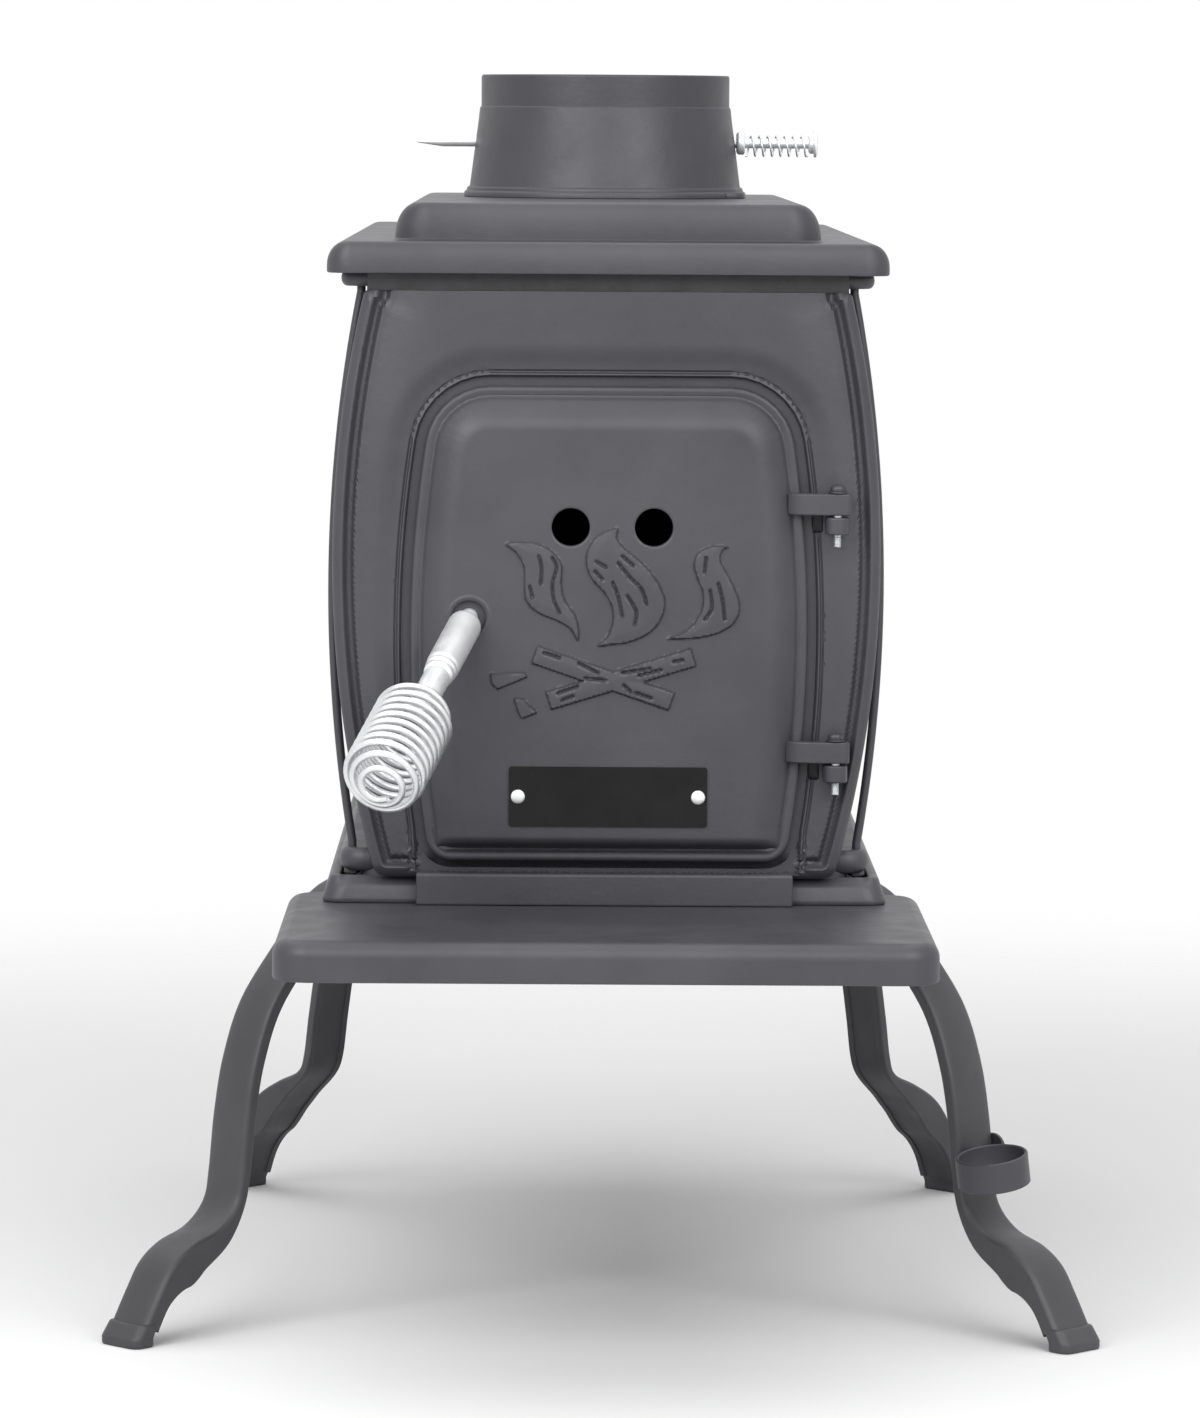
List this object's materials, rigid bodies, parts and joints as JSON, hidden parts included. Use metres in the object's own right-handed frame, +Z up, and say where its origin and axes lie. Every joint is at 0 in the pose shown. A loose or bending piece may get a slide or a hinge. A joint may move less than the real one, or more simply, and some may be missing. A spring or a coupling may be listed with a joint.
{
  "type": "cast iron log stove",
  "caption": "Long cast-iron log stove with bowed sides, splayed legs, front shelf, hinged feed door with coiled handle, and flue collar with damper.",
  "frame": {"origin": "on the floor, under the middle of the stove's overall bounding box", "axes": "+Z up, the feed door and shelf face -Y, +X to the right when facing the door"},
  "size_m": [0.5586, 0.851, 0.7097],
  "materials": {
    "black_iron": "satin charcoal stove paint over a cast skin",
    "dark_steel": "blackened steel fasteners",
    "zinc_steel": "bright zinc plating",
    "black_sheet": "satin black enamel on thin sheet",
    "rope": "woven glass-fibre rope"
  },
  "bodies": {
    "stove_body": {"base": "black_iron", "front_plate": "black_iron", "back_plate": "black_iron", "side_left": "black_iron", "side_right": "black_iron", "top_plate": "black_iron", "flue_collar": "black_iron", "collar_bolts": "dark_steel", "firebox_grate": "black_iron", "front_shelf": "black_iron", "leg_front_left": "black_iron", "leg_front_right": "black_iron", "leg_rear_left": "black_iron", "leg_rear_right": "black_iron", "base_bolts": "dark_steel", "base_nuts": "dark_steel", "tie_rod_front_left": "black_iron", "tie_rod_front_right": "black_iron", "tie_rod_rear_left": "black_iron", "tie_rod_rear_right": "black_iron", "tie_nuts": "dark_steel", "poker_ring": "black_iron", "poker_ring_screw": "dark_steel", "hinge_pins": "dark_steel", "hinge_washers": "dark_steel"},
    "door": {"door": "black_iron", "door_gasket": "rope", "door_plate": "black_sheet", "plate_rivets": "zinc_steel"},
    "handle": {"latch_shaft": "zinc_steel", "latch_tongue": "zinc_steel", "latch_nut": "zinc_steel", "handle_sleeve": "zinc_steel", "coil_grip": "zinc_steel"},
    "damper": {"damper_rod": "zinc_steel", "damper_plate": "black_iron", "damper_washer": "zinc_steel", "damper_spring": "zinc_steel", "damper_cap": "zinc_steel"}
  },
  "joints": [
    {"name": "door_swing", "type": "hinge", "parent": "stove_body", "child": "door", "pos_m": [0.1265, -0.268, 0.411], "axis": [0, 0, 1], "range_deg": [0, 115]},
    {"name": "latch_turn", "type": "hinge", "parent": "door", "child": "handle", "pos_m": [-0.0754, -0.258, 0.411], "axis": [0, -1, 0], "range_deg": [0, 85]},
    {"name": "damper_turn", "type": "hinge", "parent": "stove_body", "child": "damper", "pos_m": [0, 0.06, 0.67], "axis": [1, 0, 0], "range_deg": [0, 90]}
  ]
}
